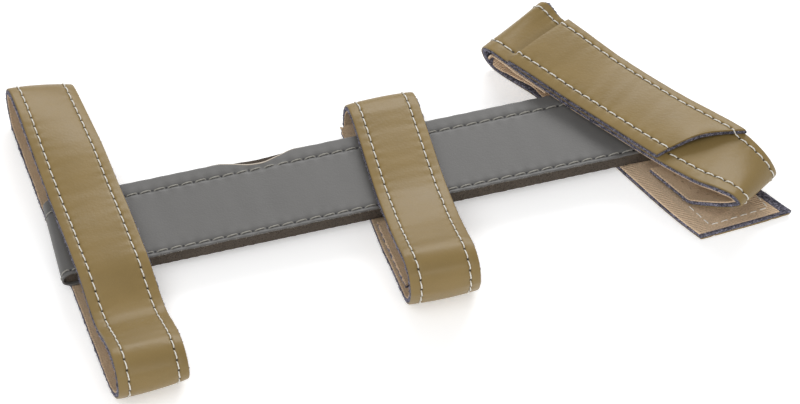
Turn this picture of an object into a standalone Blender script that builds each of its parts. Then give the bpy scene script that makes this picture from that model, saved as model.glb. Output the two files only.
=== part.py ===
"""Hand grips: a padded grip strip carrying two sewn strap loops and one hook-and-loop closure strap.

Everything is written in millimetres and turned into metres where a mesh is made.
X runs along the grip strip from its folded end, Y across it (the wearer's far side is +Y), Z is up.
Each strap is a laminate of three layers: smooth outer face, felt core and brushed lining.
"""
import math

import bmesh
import bpy
from mathutils import Matrix, Vector

MM = 0.001

# Layers of a strap, from its outer face inwards
LOOP_WIDTH = 25.4
CLOSURE_WIDTH = 28.5
FACE_THICK = 0.7
CORE_THICK = 1.0
LINING_THICK = 0.5
GAP = 0.3
FACE = (0.0, FACE_THICK)
CORE = (FACE_THICK + GAP, FACE_THICK + GAP + CORE_THICK)
LINING = (CORE[1] + GAP, CORE[1] + GAP + LINING_THICK)
STRAP_THICK = LINING[1]
CORE_TRIM = 0.15

# Stitching
THREAD_WIDTH = 0.8
THREAD_THICK = 0.4
SEAM_INSET = 3.8
JOIN_SEAM_HALF = 8.9

# Padded grip strip
STRIP_LENGTH = 223.0
STRIP_WIDTH = 35.4
STRIP_THICK = 7.3
STRIP_BOTTOM = STRAP_THICK + GAP
STRIP_TOP = STRIP_BOTTOM + STRIP_THICK
COVER_THICK = 0.8
HEM_LENGTH = 24.0
FOAM_EDGE_SETBACK = 0.2
FAR_SEAM_INSET = 5.7
NEAR_SEAM_INSET = 1.8
END_ARC_STEPS = 8
TOP_RUN_STEPS = 12

# Two closed loops: centre on the strip, yaw in degrees
LEFT_LOOP_X = 15.3
LEFT_LOOP_YAW = 4.8
MIDDLE_LOOP_X = 128.8
MIDDLE_LOOP_YAW = -1.0

# Closure strap: swivels on the strip's plain end and opens at its far fold
CLOSURE_X = 218.0
CLOSURE_YAW = 33.0
HINGE_Y = 60.2
HINGE_Z = 7.6
BASE_END_SKEW = 7.0
BASE_END = -57.5
BASE_FAR_END = 52.0
FLAP_START = 49.5
FOLD_X = 4.2
FLAP_HEIGHT = 17.0
OVERLAY_START = 49.0
OVERLAY_END = -31.0
OVERLAY_END_SKEW = 9.5
TAB_HEIGHT = 4.3
TAB_END = -27.5
TAB_SKEW_FROM = -42.0
TAB_END_SKEW = 8.5
HOOK_WIDTH = 22.0
HOOK_NEAR = -47.5
HOOK_FAR = -34.0
HOOK_THICK = 0.8
END_SEAM_LEFT = (-17.4, -49.7)
END_SEAM_RIGHT = (2.9, -60.3)

# Colours (linear), roughness
KHAKI = (0.287, 0.216, 0.098)
VINYL = (0.172, 0.168, 0.162)
FOAM = (0.072, 0.054, 0.042)
TAPE = (0.318, 0.220, 0.141)
FELT = (0.041, 0.038, 0.060)
THREAD = (0.720, 0.680, 0.600)
GREY_THREAD = (0.376, 0.365, 0.305)


# ---------------------------------------------------------------- materials and objects

def material(name, colour, roughness):
    mat = bpy.data.materials.new(name)
    mat.use_nodes = True
    shader = mat.node_tree.nodes["Principled BSDF"]
    shader.inputs["Base Color"].default_value = (*colour, 1.0)
    shader.inputs["Roughness"].default_value = roughness
    shader.inputs["Metallic"].default_value = 0.0
    return mat


def new_object(name, bm, parent, colour, roughness):
    """Turn a bmesh in millimetres into an object of its own, in metres, under its parent."""
    bmesh.ops.scale(bm, vec=(MM, MM, MM), verts=bm.verts)
    bmesh.ops.recalc_face_normals(bm, faces=bm.faces)
    mesh = bpy.data.meshes.new(name)
    bm.to_mesh(mesh)
    bm.free()
    mesh.shade_smooth()
    mesh.set_sharp_from_angle(angle=math.radians(40))
    obj = bpy.data.objects.new(name, mesh)
    bpy.context.collection.objects.link(obj)
    obj.data.materials.append(material(name, colour, roughness))
    obj.parent = parent
    return obj


def joint_empty(name, parent, place, yaw_degrees=0.0):
    """An empty on a joint's axis, which the moving pieces hang from."""
    empty = bpy.data.objects.new(name, None)
    bpy.context.collection.objects.link(empty)
    empty.parent = parent
    empty.location = Vector(place) * MM
    empty.rotation_euler[2] = math.radians(yaw_degrees)
    return empty


# ---------------------------------------------------------------- strap paths

def spline_value(a, b, c, d, t):
    """Catmull-Rom value between b and c."""
    return 0.5 * (2 * b + (c - a) * t + (2 * a - 5 * b + 4 * c - d) * t * t
                  + (3 * b - a - 3 * c + d) * t ** 3)


def smooth_path(points, closed, steps):
    """Points (y, z, x, tilt) on a smooth curve through the given ones, never below the floor."""
    count = len(points)
    spans = count if closed else count - 1
    path = []
    for i in range(spans):
        if closed:
            four = [points[(i + k) % count] for k in (-1, 0, 1, 2)]
        else:
            four = [points[min(max(i + k, 0), count - 1)] for k in (-1, 0, 1, 2)]
        for s in range(steps):
            path.append([spline_value(*values, s / steps) for values in zip(*four)])
    if not closed:
        path.append(list(points[-1]))
    for point in path:
        point[1] = max(point[1], 0.0)
    return path


class Station:
    """One cross-section of a strap: a point of its outer face, and its own axes there.

    A positive tilt lifts the strap's +X edge. A skew slides its two edges apart along the strap.
    """

    def __init__(self, place, tangent, tilt_degrees, turns_in_plan=False):
        self.place = place
        self.tangent = tangent
        across = Vector((1, 0, 0))
        if turns_in_plan:
            across = (across - tangent * tangent.x).normalized()
        self.across = Matrix.Rotation(math.radians(-tilt_degrees), 3, "Y") @ across
        self.outward = tangent.cross(self.across).normalized()
        self.skew = 0.0

    def corner(self, side, depth, half):
        slide = self.tangent * (self.skew * side / half)
        return self.place + self.across * side - self.outward * depth + slide


def stations_of(path, closed, turns_in_plan=False):
    points = [Vector((x, y, z)) for y, z, x, tilt in path]
    count = len(points)
    result = []
    for i, (point, values) in enumerate(zip(points, path)):
        before = points[i - 1] if closed or i > 0 else point
        after = points[(i + 1) % count] if closed or i < count - 1 else point
        tangent = (after - before).normalized()
        result.append(Station(point, tangent, values[3], turns_in_plan))
    return result


def square_end(station, direction):
    """Make a strap's end square to its run, so that it meets the next piece."""
    station.tangent = Vector((0, direction, 0))
    station.across = Vector((station.across.x, 0, station.across.z)).normalized()
    station.outward = station.tangent.cross(station.across)


def band(name, stations, layer, left, right, closed, parent, colour, roughness):
    """A closed solid that follows the stations, between two depths under the outer face."""
    outer, inner = layer
    half = (right - left) / 2
    bm = bmesh.new()
    rings = []
    for station in stations:
        corners = [station.corner(left, outer, half), station.corner(right, outer, half),
                   station.corner(right, inner, half), station.corner(left, inner, half)]
        rings.append([bm.verts.new(corner) for corner in corners])
    spans = len(rings) if closed else len(rings) - 1
    for i in range(spans):
        a, b = rings[i], rings[(i + 1) % len(rings)]
        for k in range(4):
            bm.faces.new((a[k], a[(k + 1) % 4], b[(k + 1) % 4], b[k]))
    if not closed:
        bm.faces.new(reversed(rings[0]))
        bm.faces.new(rings[-1])
    bmesh.ops.triangulate(bm, faces=bm.faces)
    return new_object(name, bm, parent, colour, roughness)


def laminate(prefix, stations, closed, parent, width, lining_name="lining"):
    """The three layers of a strap as three separate solids."""
    half = width / 2
    core_half = half - CORE_TRIM
    band(prefix + "_face", stations, FACE, -half, half, closed, parent, KHAKI, 0.5)
    band(prefix + "_core", stations, CORE, -core_half, core_half, closed, parent, FELT, 0.95)
    band(prefix + "_" + lining_name, stations, LINING, -half, half, closed, parent, TAPE, 0.9)


def seam(name, stations, at, parent, base_lift=0.0):
    """A row of thread lying on the outer face, as one thin band."""
    layer = (-base_lift - GAP - THREAD_THICK, -base_lift - GAP)
    half = THREAD_WIDTH / 2
    band(name, stations, layer, at - half, at + half, False, parent, THREAD, 0.8)


# ---------------------------------------------------------------- grip strip

def prism(name, outline, y0, y1, parent, colour, roughness):
    """An outline in the XZ plane, carried across from y0 to y1."""
    bm = bmesh.new()
    near = [bm.verts.new((x, y0, z)) for x, z in outline]
    far = [bm.verts.new((x, y1, z)) for x, z in outline]
    bm.faces.new(near)
    bm.faces.new(reversed(far))
    for i in range(len(outline)):
        k = (i + 1) % len(outline)
        bm.faces.new((near[i], far[i], far[k], near[k]))
    bmesh.ops.triangulate(bm, faces=bm.faces)
    return new_object(name, bm, parent, colour, roughness)


def end_arc(radius, first_degrees, last_degrees, steps=END_ARC_STEPS):
    """Points round the strip's folded end, about the middle of its thickness."""
    centre_x = STRIP_THICK / 2
    centre_z = (STRIP_BOTTOM + STRIP_TOP) / 2
    points = []
    for i in range(steps + 1):
        angle = math.radians(first_degrees + (last_degrees - first_degrees) * i / steps)
        points.append((centre_x + radius * math.cos(angle), centre_z + radius * math.sin(angle)))
    return points


def rail_round_end(radius, top_end, under_end, last_degrees):
    """A line along the top, round the strip's folded end, and back underneath to under_end."""
    middle = (STRIP_BOTTOM + STRIP_TOP) / 2
    start = STRIP_THICK / 2
    rail = []
    for i in range(TOP_RUN_STEPS):
        rail.append((top_end + (start - top_end) * i / TOP_RUN_STEPS, middle + radius))
    rail += end_arc(radius, 90, last_degrees)
    if under_end is not None:
        rail.append((under_end, middle - radius))
    return rail


def wrapped_strip(name, radii, ends, last_degrees, y0, y1, parent, colour, roughness):
    """A closed solid between two rails round the strip's end, from y0 to y1."""
    outer, inner = [rail_round_end(radius, *ends, last_degrees) for radius in radii]
    bm = bmesh.new()
    rings = []
    for (xo, zo), (xi, zi) in zip(outer, inner):
        corners = ((xo, y0, zo), (xo, y1, zo), (xi, y1, zi), (xi, y0, zi))
        rings.append([bm.verts.new(corner) for corner in corners])
    for a, b in zip(rings, rings[1:]):
        for k in range(4):
            n = (k + 1) % 4
            bm.faces.new((a[k], a[n], b[n], b[k]))
    bm.faces.new(reversed(rings[0]))
    bm.faces.new(rings[-1])
    bmesh.ops.triangulate(bm, faces=bm.faces)
    return new_object(name, bm, parent, colour, roughness)


def grip_strip(root):
    half = STRIP_WIDTH / 2
    reach = STRIP_THICK / 2
    wrapped_strip("grip_cover", (reach, reach - COVER_THICK), (STRIP_LENGTH, HEM_LENGTH), 270,
                  -half, half, root, VINYL, 0.45)

    skin = COVER_THICK + GAP
    step = HEM_LENGTH + GAP
    foam = [(STRIP_LENGTH, STRIP_TOP - skin)] + end_arc(reach - skin, 90, 270)
    foam += [(step, STRIP_BOTTOM + skin), (step + GAP, STRIP_BOTTOM), (STRIP_LENGTH, STRIP_BOTTOM)]
    foam_half = half - FOAM_EDGE_SETBACK
    prism("grip_foam_pad", foam, -foam_half, foam_half, root, FOAM, 0.95)

    radii = (reach + GAP + THREAD_THICK, reach + GAP)
    for name, y in (("far", half - FAR_SEAM_INSET), ("near", NEAR_SEAM_INSET - half)):
        wrapped_strip("grip_stitch_" + name, radii, (STRIP_LENGTH - 2, None), 200,
                      y - THREAD_WIDTH / 2, y + THREAD_WIDTH / 2, root, GREY_THREAD, 0.8)


# ---------------------------------------------------------------- closed loops

def loop(prefix, points, parent, steps):
    """A closed band round the strip, its two seams, and the seam that joins its ends."""
    path = smooth_path(points, True, steps)
    stations = stations_of(path, True)
    laminate(prefix, stations, True, parent, LOOP_WIDTH)
    inset = LOOP_WIDTH / 2 - SEAM_INSET
    start = next(i for i, p in enumerate(path) if p[1] > 2.0 and p[0] > 0)
    end = max(i for i, p in enumerate(path) if p[1] > 2.0)
    upper = stations[start:end + 1]
    seam(prefix + "_stitch_left", upper, -inset, parent)
    seam(prefix + "_stitch_right", upper, inset, parent)


def box_seam(name, near_left, far_right, low, parent):
    """A four-sided run of thread lying flat, sewn where two layers are joined."""
    (x0, y0), (x1, y1) = near_left, far_right
    outer = [(x0, y0), (x1, y0), (x1, y1), (x0, y1)]
    w = THREAD_WIDTH
    inner = [(x0 + w, y0 + w), (x1 - w, y0 + w), (x1 - w, y1 - w), (x0 + w, y1 - w)]
    high = low + THREAD_THICK
    bm = bmesh.new()
    rings = []
    for z, ring in ((low, outer), (high, outer), (high, inner), (low, inner)):
        rings.append([bm.verts.new((x, y, z)) for x, y in ring])
    for i in range(4):
        lower, upper = rings[i], rings[(i + 1) % 4]
        for k in range(4):
            n = (k + 1) % 4
            bm.faces.new((lower[k], lower[n], upper[n], upper[k]))
    bmesh.ops.triangulate(bm, faces=bm.faces)
    new_object(name, bm, parent, THREAD, 0.8)


def end_seam(name, start, end, low, parent):
    """One straight run of thread lying flat between two points."""
    run = Vector((end[0] - start[0], end[1] - start[1], 0))
    middle = Vector((start[0] + end[0], start[1] + end[1], 2 * low + THREAD_THICK)) / 2
    turn = Matrix.Rotation(math.atan2(run.y, run.x), 4, "Z")
    size = Matrix.Diagonal((run.length, THREAD_WIDTH, THREAD_THICK, 1))
    bm = bmesh.new()
    bmesh.ops.create_cube(bm, matrix=Matrix.Translation(middle) @ turn @ size)
    bmesh.ops.triangulate(bm, faces=bm.faces)
    new_object(name, bm, parent, THREAD, 0.8)


def left_loop(root):
    slide = joint_empty("left_loop_slide", root, (LEFT_LOOP_X, 0, 0), LEFT_LOOP_YAW)
    outline = [(-58, 0, -0.8, 0), (-30, 0, -0.8, 0), (0, 0, -0.8, 0), (32, 0, -0.8, 0), (60, 0, -0.6, 0),
               (69.5, 2.6, -0.3, -6), (72.6, 8.3, 0.1, -13), (68.3, 13.4, 0.6, -16),
               (56, 15.6, 1.0, -15), (42, 15.6, 1.1, -10), (26, 15.1, 1.2, -4), (8, 14.6, 1.3, 0),
               (-10, 14.7, 1.3, 0), (-22, 14.2, 1.3, 0), (-33, 10.8, 1.2, -1), (-43, 10.6, 1.1, -4),
               (-54, 16.2, 1.0, -7), (-64, 20.0, 0.8, -8), (-71, 17.0, 0.5, -7),
               (-73, 9.5, 0.1, -4), (-68, 2.2, -0.4, 0)]
    loop("left_loop", outline, slide, 3)
    box_seam("left_loop_join_stitch", (-JOIN_SEAM_HALF, 22.0), (JOIN_SEAM_HALF, 30.0),
             STRAP_THICK + GAP, slide)


def middle_loop(root):
    slide = joint_empty("middle_loop_slide", root, (MIDDLE_LOOP_X, 0, 0), MIDDLE_LOOP_YAW)
    outline = [(-48, 0, 0.2, 0), (-38, 0, -0.7, 0), (-28, 0, -1.7, 0), (-4, 0, -2.7, 0),
               (20, 0, -2.0, 0), (29.4, 1.6, -1.5, 0), (33.0, 7.3, -0.7, 0), (30.8, 12.8, 0, 0),
               (24, 14.9, 0.3, 0), (13, 14.9, 0.3, 0), (-4, 14.6, 0.2, 0), (-18, 14.9, 0.2, 0),
               (-31, 17.0, 0.2, 0), (-43, 20.8, 0.2, 0), (-52.5, 23.6, 0.3, 0), (-59.3, 21.4, 0.6, 0),
               (-62.0, 14.0, 0.7, 0), (-59.6, 6.0, 0.7, 0), (-55, 1.1, 0.6, 0)]
    loop("middle_loop", outline, slide, 3)
    lap = [Station(Vector((x, y, 0)), Vector((0, 1, 0)), 0.0)
           for x, y in ((1.9, -50.0), (0.4, -35.0), (-0.9, -19.5))]
    lap_bottom = STRAP_THICK + GAP
    half = LOOP_WIDTH / 2
    for part, thick, low, colour in (("core", CORE_THICK, lap_bottom, FELT),
                                     ("lining", LINING_THICK, lap_bottom + CORE_THICK + GAP, TAPE)):
        band("middle_loop_lap_" + part, lap, (low, low + thick), -half, half, False, slide,
             colour, 0.9)
    top_of_lap = lap_bottom + CORE_THICK + GAP + LINING_THICK
    box_seam("middle_loop_join_stitch", (-JOIN_SEAM_HALF, -45.0), (JOIN_SEAM_HALF, -26.0),
             top_of_lap + GAP, slide)


# ---------------------------------------------------------------- closure strap

def closure_base(swivel):
    """The lower run: it lies on the floor, passes under the strip and carries the pile tape."""
    points = [(BASE_END, 0, -9.2, 0), (-40, 0, -8.0, 0), (-20, 0, -5.0, 0), (0, 0, -1.4, 0),
              (20, 0, 2.3, 0), (38, 0, 4.4, 0), (BASE_FAR_END, 0, FOLD_X, 0)]
    stations = stations_of(smooth_path(points, False, 2), False, True)
    square_end(stations[-1], 1)
    stations[0].skew = -BASE_END_SKEW
    stations[1].skew = -BASE_END_SKEW / 2
    laminate("closure_base", stations, False, swivel, CLOSURE_WIDTH, "pile_tape")

    end_seam("closure_end_stitch", END_SEAM_LEFT, END_SEAM_RIGHT, STRAP_THICK + GAP, swivel)


def closure_fold(swivel):
    """The far fold, which bends when the flap is opened."""
    points = [(BASE_FAR_END + GAP, 0, FOLD_X, 0), (57, 1.6, 3.6, 6), (61.5, 5.6, 2.9, 13),
              (62.8, 10.4, 2.2, 17), (60.8, 14.9, 1.4, 16), (56, 17.0, 0.7, 11),
              (FLAP_START + GAP, FLAP_HEIGHT, 0, 8)]
    stations = stations_of(smooth_path(points, False, 3), False)
    square_end(stations[0], 1)
    square_end(stations[-1], -1)
    laminate("closure_fold", stations, False, swivel, CLOSURE_WIDTH)


def flap_points():
    """Outer face of the flap: over the strip, round the near fold and back under as a tab."""
    return [(FLAP_START, FLAP_HEIGHT, 0, 8), (36, 16.3, 0, 5), (20, 15.0, 0, 2), (4, 14.9, 0, 1),
            (-12, 15.4, 0, 2), (-26, 16.6, 0, 4), (-38, 17.8, 0, 3), (-47, 18.6, 0, -7),
            (-54.5, 17.4, 0.4, -16), (-58.6, 13.2, 0.6, -19), (-55, 9.0, 0.2, -18),
            (-48.5, 7.0, -0.8, -10), (-42, 5.2, -1.6, -3), (-38.5, TAB_HEIGHT, -1.8, 0),
            (-33, TAB_HEIGHT, -1.3, 0), (TAB_END, TAB_HEIGHT, -0.6, 0)]


def between(stations, first, last):
    """The upper stations of the flap whose place along the strap lies between two values."""
    return [s for s in stations
            if last < s.place.y + HINGE_Y < first and s.outward.z > 0.1]


def closure_flap(hinge):
    path = smooth_path(flap_points(), False, 3)
    for point in path:
        point[0] -= HINGE_Y
        point[1] -= HINGE_Z
    stations = stations_of(path, False)
    square_end(stations[0], -1)
    square_end(stations[-1], 1)
    for station in stations:
        along_tab = station.place.y + HINGE_Y - TAB_SKEW_FROM
        if station.tangent.y > 0 and along_tab > 0:
            station.skew = -TAB_END_SKEW * along_tab / (TAB_END - TAB_SKEW_FROM)
    laminate("flap", stations, False, hinge, CLOSURE_WIDTH)

    overlay = between(stations, OVERLAY_START, OVERLAY_END)
    overlay[-1].skew = OVERLAY_END_SKEW
    overlay[-2].skew = OVERLAY_END_SKEW / 2
    half = CLOSURE_WIDTH / 2
    core_layer = (-GAP - CORE_THICK, -GAP)
    face_layer = (core_layer[0] - GAP - FACE_THICK, core_layer[0] - GAP)
    band("overlay_core", overlay, core_layer, -half, half, False, hinge, FELT, 0.95)
    band("overlay_face", overlay, face_layer, -half, half, False, hinge, KHAKI, 0.5)
    overlay[-1].skew = 0.0
    overlay[-2].skew = 0.0

    inset = half - SEAM_INSET
    lift = -face_layer[0]
    for side, at, turn in (("left", -inset, OVERLAY_END_SKEW), ("right", inset, -OVERLAY_END_SKEW)):
        upper = between(stations, OVERLAY_START, OVERLAY_END + turn * inset / half)
        seam("flap_stitch_" + side, upper, at, hinge, lift)
        tip = between(stations, OVERLAY_END + turn - SEAM_INSET, -60.0)
        seam("tip_stitch_" + side, tip, at, hinge)

    hook_top = TAB_HEIGHT - GAP
    hook = [Station(Vector((0, y - HINGE_Y, hook_top - HOOK_THICK - HINGE_Z)), Vector((0, 1, 0)), 0.0)
            for y in (HOOK_NEAR, HOOK_FAR)]
    band("hook_tape", hook, (0.0, HOOK_THICK), -HOOK_WIDTH / 2, HOOK_WIDTH / 2, False, hinge, TAPE, 0.8)


# ---------------------------------------------------------------- whole part

def centre_on_floor(root):
    """Put the frame's origin at the middle of the whole part's box, on the floor."""
    bpy.context.view_layer.update()
    corners = [obj.matrix_world @ vertex.co for obj in bpy.data.objects if obj.type == "MESH"
               for vertex in obj.data.vertices]
    xs = [c.x for c in corners]
    ys = [c.y for c in corners]
    root.location.x -= (min(xs) + max(xs)) / 2
    root.location.y -= (min(ys) + max(ys)) / 2


def main():
    for obj in list(bpy.data.objects):
        bpy.data.objects.remove(obj, do_unlink=True)
    root = joint_empty("grip_root", None, (0, 0, 0))
    grip_strip(root)
    left_loop(root)
    middle_loop(root)
    swivel = joint_empty("closure_swivel", root, (CLOSURE_X, 0, 0), CLOSURE_YAW)
    closure_base(swivel)
    closure_fold(swivel)
    hinge = joint_empty("flap_hinge", swivel, (0, HINGE_Y, HINGE_Z))
    closure_flap(hinge)
    centre_on_floor(root)


main()
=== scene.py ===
"""Hand grips: the detailed visual model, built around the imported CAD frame.

Lengths are written in millimetres and turned into metres where a mesh is made. A strap is described
by its course (a Run): every point of it has a distance u along the run, a distance c across from its
middle, and a depth under its outer face.
"""
import math

import bpy
import numpy as np
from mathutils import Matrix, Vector


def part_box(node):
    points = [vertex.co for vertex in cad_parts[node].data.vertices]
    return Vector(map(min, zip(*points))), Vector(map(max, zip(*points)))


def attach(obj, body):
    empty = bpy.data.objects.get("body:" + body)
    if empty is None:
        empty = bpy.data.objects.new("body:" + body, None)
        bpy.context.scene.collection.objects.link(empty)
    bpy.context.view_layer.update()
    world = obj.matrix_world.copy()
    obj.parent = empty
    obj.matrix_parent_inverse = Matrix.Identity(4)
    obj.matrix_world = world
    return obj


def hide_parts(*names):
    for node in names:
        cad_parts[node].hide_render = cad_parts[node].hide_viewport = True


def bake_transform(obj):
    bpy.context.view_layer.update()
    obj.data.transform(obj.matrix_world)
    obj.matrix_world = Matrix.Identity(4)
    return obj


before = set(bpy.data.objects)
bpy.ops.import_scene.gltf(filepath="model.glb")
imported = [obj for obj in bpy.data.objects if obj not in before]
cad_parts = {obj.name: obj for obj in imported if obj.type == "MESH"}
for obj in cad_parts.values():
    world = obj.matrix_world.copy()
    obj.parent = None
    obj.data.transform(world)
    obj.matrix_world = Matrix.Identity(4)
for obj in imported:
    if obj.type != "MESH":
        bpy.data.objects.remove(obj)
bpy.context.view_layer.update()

MM = 0.001
RNG = np.random.default_rng(11)

# Half widths of the straps
LOOP_HALF = 12.7
CLOSURE_HALF = 14.25

# Strap layers: depth under the outer face
FACE_UNDER = 0.78
CORE_TOP = 0.76
CORE_UNDER = 2.22
LINING_TOP = 2.2
STRAP_THICK = 2.8
STRIP_CLEAR = 0.3

# Stitching
STRAP_PITCH = 4.07
STRIP_PITCH = 5.1
JOIN_PITCH = 3.2
SEAM_INSET = 3.8
THREAD_RADIUS = 0.235
END_THREAD_RADIUS = 0.2
THREAD_SIDES = 10
THREAD_LOBE = 0.16
THREAD_TWIST = 7.5
STITCH_RINGS = 13
STITCH_PLACES = np.linspace(0, 1, STITCH_RINGS)

# Loose fibres
FIBRE_RADIUS = 0.06
FIBRE_RINGS = 5

SHARP_ANGLE = math.radians(50)

# Lowest height for a surface, a tube, a fibre and a stitch, so that they stay above the ground
SURFACE_LOW = 0.02
TUBE_LOW = 0.01
FIBRE_LOW = 0.08
STITCH_LOW = 0.26

# Textures: millimetres in one unit of the map, a wave texture's scale for 1 mm waves, and the
# distance in the map from one tube to the next
UV_MM = 100.0
WAVE_SCALE = 31.4
TUBE_SHIFT = 7.3

# Grip strip
STRIP_LENGTH = 223.0
STRIP_HALF = 17.7
STRIP_BOTTOM = STRAP_THICK + STRIP_CLEAR
STRIP_THICK = 7.3
STRIP_TOP = STRIP_BOTTOM + STRIP_THICK
STRIP_REACH = STRIP_THICK / 2
HEM_LENGTH = 24.0
VINYL_THICK = 0.8
FAR_SEAM = -(STRIP_HALF - 5.7)
NEAR_SEAM = STRIP_HALF - 1.8
STRIP_AT = (0.0, -90.0)

# Where the straps cross the strip: distance from its folded end, and yaw
LEFT_LOOP_AT = (15.3, 4.8)
MIDDLE_LOOP_AT = (128.8, -1.0)
CLOSURE_AT = (218.0, 33.0)

# Closure strap: seams, the stitch hole that the flap and the fold share, ends and ribs
CLOSURE_SEAMS = (-CLOSURE_HALF + 4.6, CLOSURE_HALF - 3.2)
SHARED_HOLE = 5.5
SPLIT_Y = 44.0
END_SKEW = 7.0
TAB_SKEW = 8.5
TAB_Y = -27.5
BASE_END_Y = -57.5
RIB_PITCH = 0.9
RIB_HEIGHT = 0.09

# Overlay: depths above the flap's face, and its ends along the flap
OVERLAY_TOP = 2.35
OVERLAY_FACE_UNDER = 1.62
OVERLAY_CORE_TOP = 1.64
OVERLAY_CORE_UNDER = 0.12
OVERLAY_START, OVERLAY_START_SKEW = 3.6, 2.6
OVERLAY_LENGTH, OVERLAY_END_SKEW, OVERLAY_END_BOW = 80.7, 9.5, 2.2

# The strip's folded end and centreline, in millimetres in the row frame
_cover_low, _cover_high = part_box("grip_cover")
ORIGIN = np.array([_cover_low.x, (_cover_low.y + _cover_high.y) / 2, 0.0]) / MM


# ---------------- small maths

def smoothstep(x, low, high):
    t = np.clip((np.asarray(x, float) - low) / (high - low), 0.0, 1.0)
    return t * t * (3 - 2 * t)


def bump_at(x, centre, width):
    return np.exp(-((x - centre) / width) ** 2)


def unit(v):
    return v / np.maximum(np.linalg.norm(v, axis=-1, keepdims=True), 1e-9)


def catmull(points, closed, steps=24):
    """Dense points on a Catmull-Rom curve through the given ones."""
    pts = np.array(points, float)
    n = len(pts)
    spans = n if closed else n - 1
    t = np.arange(steps)[:, None] / steps
    out = []
    for i in range(spans):
        a, b, c, d = (pts[(i + k) % n] if closed else pts[min(max(i + k, 0), n - 1)]
                      for k in (-1, 0, 1, 2))
        out.append(0.5 * (2 * b + (c - a) * t + (2 * a - 5 * b + 4 * c - d) * t ** 2
                          + (3 * b - a - 3 * c + d) * t ** 3))
    if not closed:
        out.append(pts[-1:])
    return np.vstack(out)


class Waves:
    """A smooth random height over a strap, which closes on itself over one length."""

    def __init__(self, length, shortest, longest, count=14):
        top = max(2, int(length / shortest))
        low = max(1, int(length / longest))
        self.k = RNG.integers(low, top + 1, count) * 2 * math.pi / length
        self.q = RNG.uniform(-0.12, 0.12, count)
        self.phase = RNG.uniform(0, 2 * math.pi, count)
        self.size = 1.4 / math.sqrt(count)

    def __call__(self, u, c):
        total = 0
        for k, q, phase in zip(self.k, self.q, self.phase):
            total = total + np.sin(k * u + q * c + phase)
        return total * self.size


# ---------------- courses

class Run:
    """A strap's course. Points are (y, z, x, tilt) about the place where it crosses the strip.

    A positive tilt lifts the strap's +X edge. A fifth value carries that edge further along Y.
    A strap that turns keeps its width square to its course. Where it lies on the ground it is flat,
    elsewhere it has waves and a crown of the given heights.
    """

    def __init__(self, points, at, closed, spline=True, turns=False, wave=0.0, crown=0.0,
                 half=LOOP_HALF):
        dense = catmull(points, closed) if spline else np.array(points, float)
        y, z, x, tilt = dense.T[:4]
        shear = dense[:, 4] if dense.shape[1] > 4 else 0 * y
        place = np.stack([x, y, np.maximum(z, 0.0)], 1)
        if closed:
            along = np.roll(place, -1, 0) - np.roll(place, 1, 0)
        else:
            along = np.gradient(place, axis=0)
        along = unit(along)
        across = np.stack([np.cos(np.radians(tilt)), np.zeros_like(tilt), np.sin(np.radians(tilt))], 1)
        if turns:
            across = unit(across - along * along[:, :1])
        outward = unit(np.cross(along, across))
        where, yaw = at
        c, s = math.cos(math.radians(yaw)), math.sin(math.radians(yaw))
        turn = np.array([[c, s, 0], [-s, c, 0], [0, 0, 1]])
        self.closed = closed
        ring = np.vstack([place, place[:1]]) if closed else place
        steps = np.linalg.norm(np.diff(ring, axis=0), axis=1)
        marks = np.concatenate([[0], np.cumsum(steps)])
        self.length = float(marks[-1])
        self.marks = marks[:len(place)]
        self.local = place
        self.place = place @ turn + np.array([where, 0, 0]) + ORIGIN
        self.across = across @ turn
        self.outward = outward @ turn
        self.shear = shear[:, None] * turn[1] / half
        resting = (1 - smoothstep(place[:, 2], 0.2, 2.5)) * smoothstep(-outward[:, 2], 0.5, 0.9)
        self.free = 1 - resting
        self.half = half
        self.wave = wave
        self.crown = crown
        self.waves = Waves(self.length, 26, 95)

    def sample(self, table, u):
        period = self.length if self.closed else None
        if table.ndim == 1:
            return np.interp(u, self.marks, table, period=period)
        return np.stack([np.interp(u, self.marks, table[:, k], period=period) for k in range(3)], -1)

    def at(self, u, c, depth):
        """Points at a distance along, across and under the outer face."""
        u, c, depth = np.broadcast_arrays(*(np.asarray(a, float) for a in (u, c, depth)))
        out = unit(self.sample(self.outward, u))
        rise = self.wave * self.waves(u, c) + self.crown * (1 - (c / self.half) ** 2)
        rise = rise * self.sample(self.free, u)
        across = unit(self.sample(self.across, u)) + self.sample(self.shear, u)
        points = (self.sample(self.place, u) + across * c[..., None]
                  + out * (rise - depth)[..., None])
        points[..., 2] = np.maximum(points[..., 2], SURFACE_LOW)
        return points

    def find(self, y, upper):
        """Distance along the run to where it passes y, on its upper or its lower side."""
        side = self.outward[:, 2] > 0.3 if upper else self.outward[:, 2] < -0.3
        miss = np.where(side, np.abs(self.local[:, 1] - y), 1e9)
        return float(self.marks[int(np.argmin(miss))])


# ---------------- meshes

def linked(name, data):
    obj = bpy.data.objects.new(name, data)
    bpy.context.scene.collection.objects.link(obj)
    return obj


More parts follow.
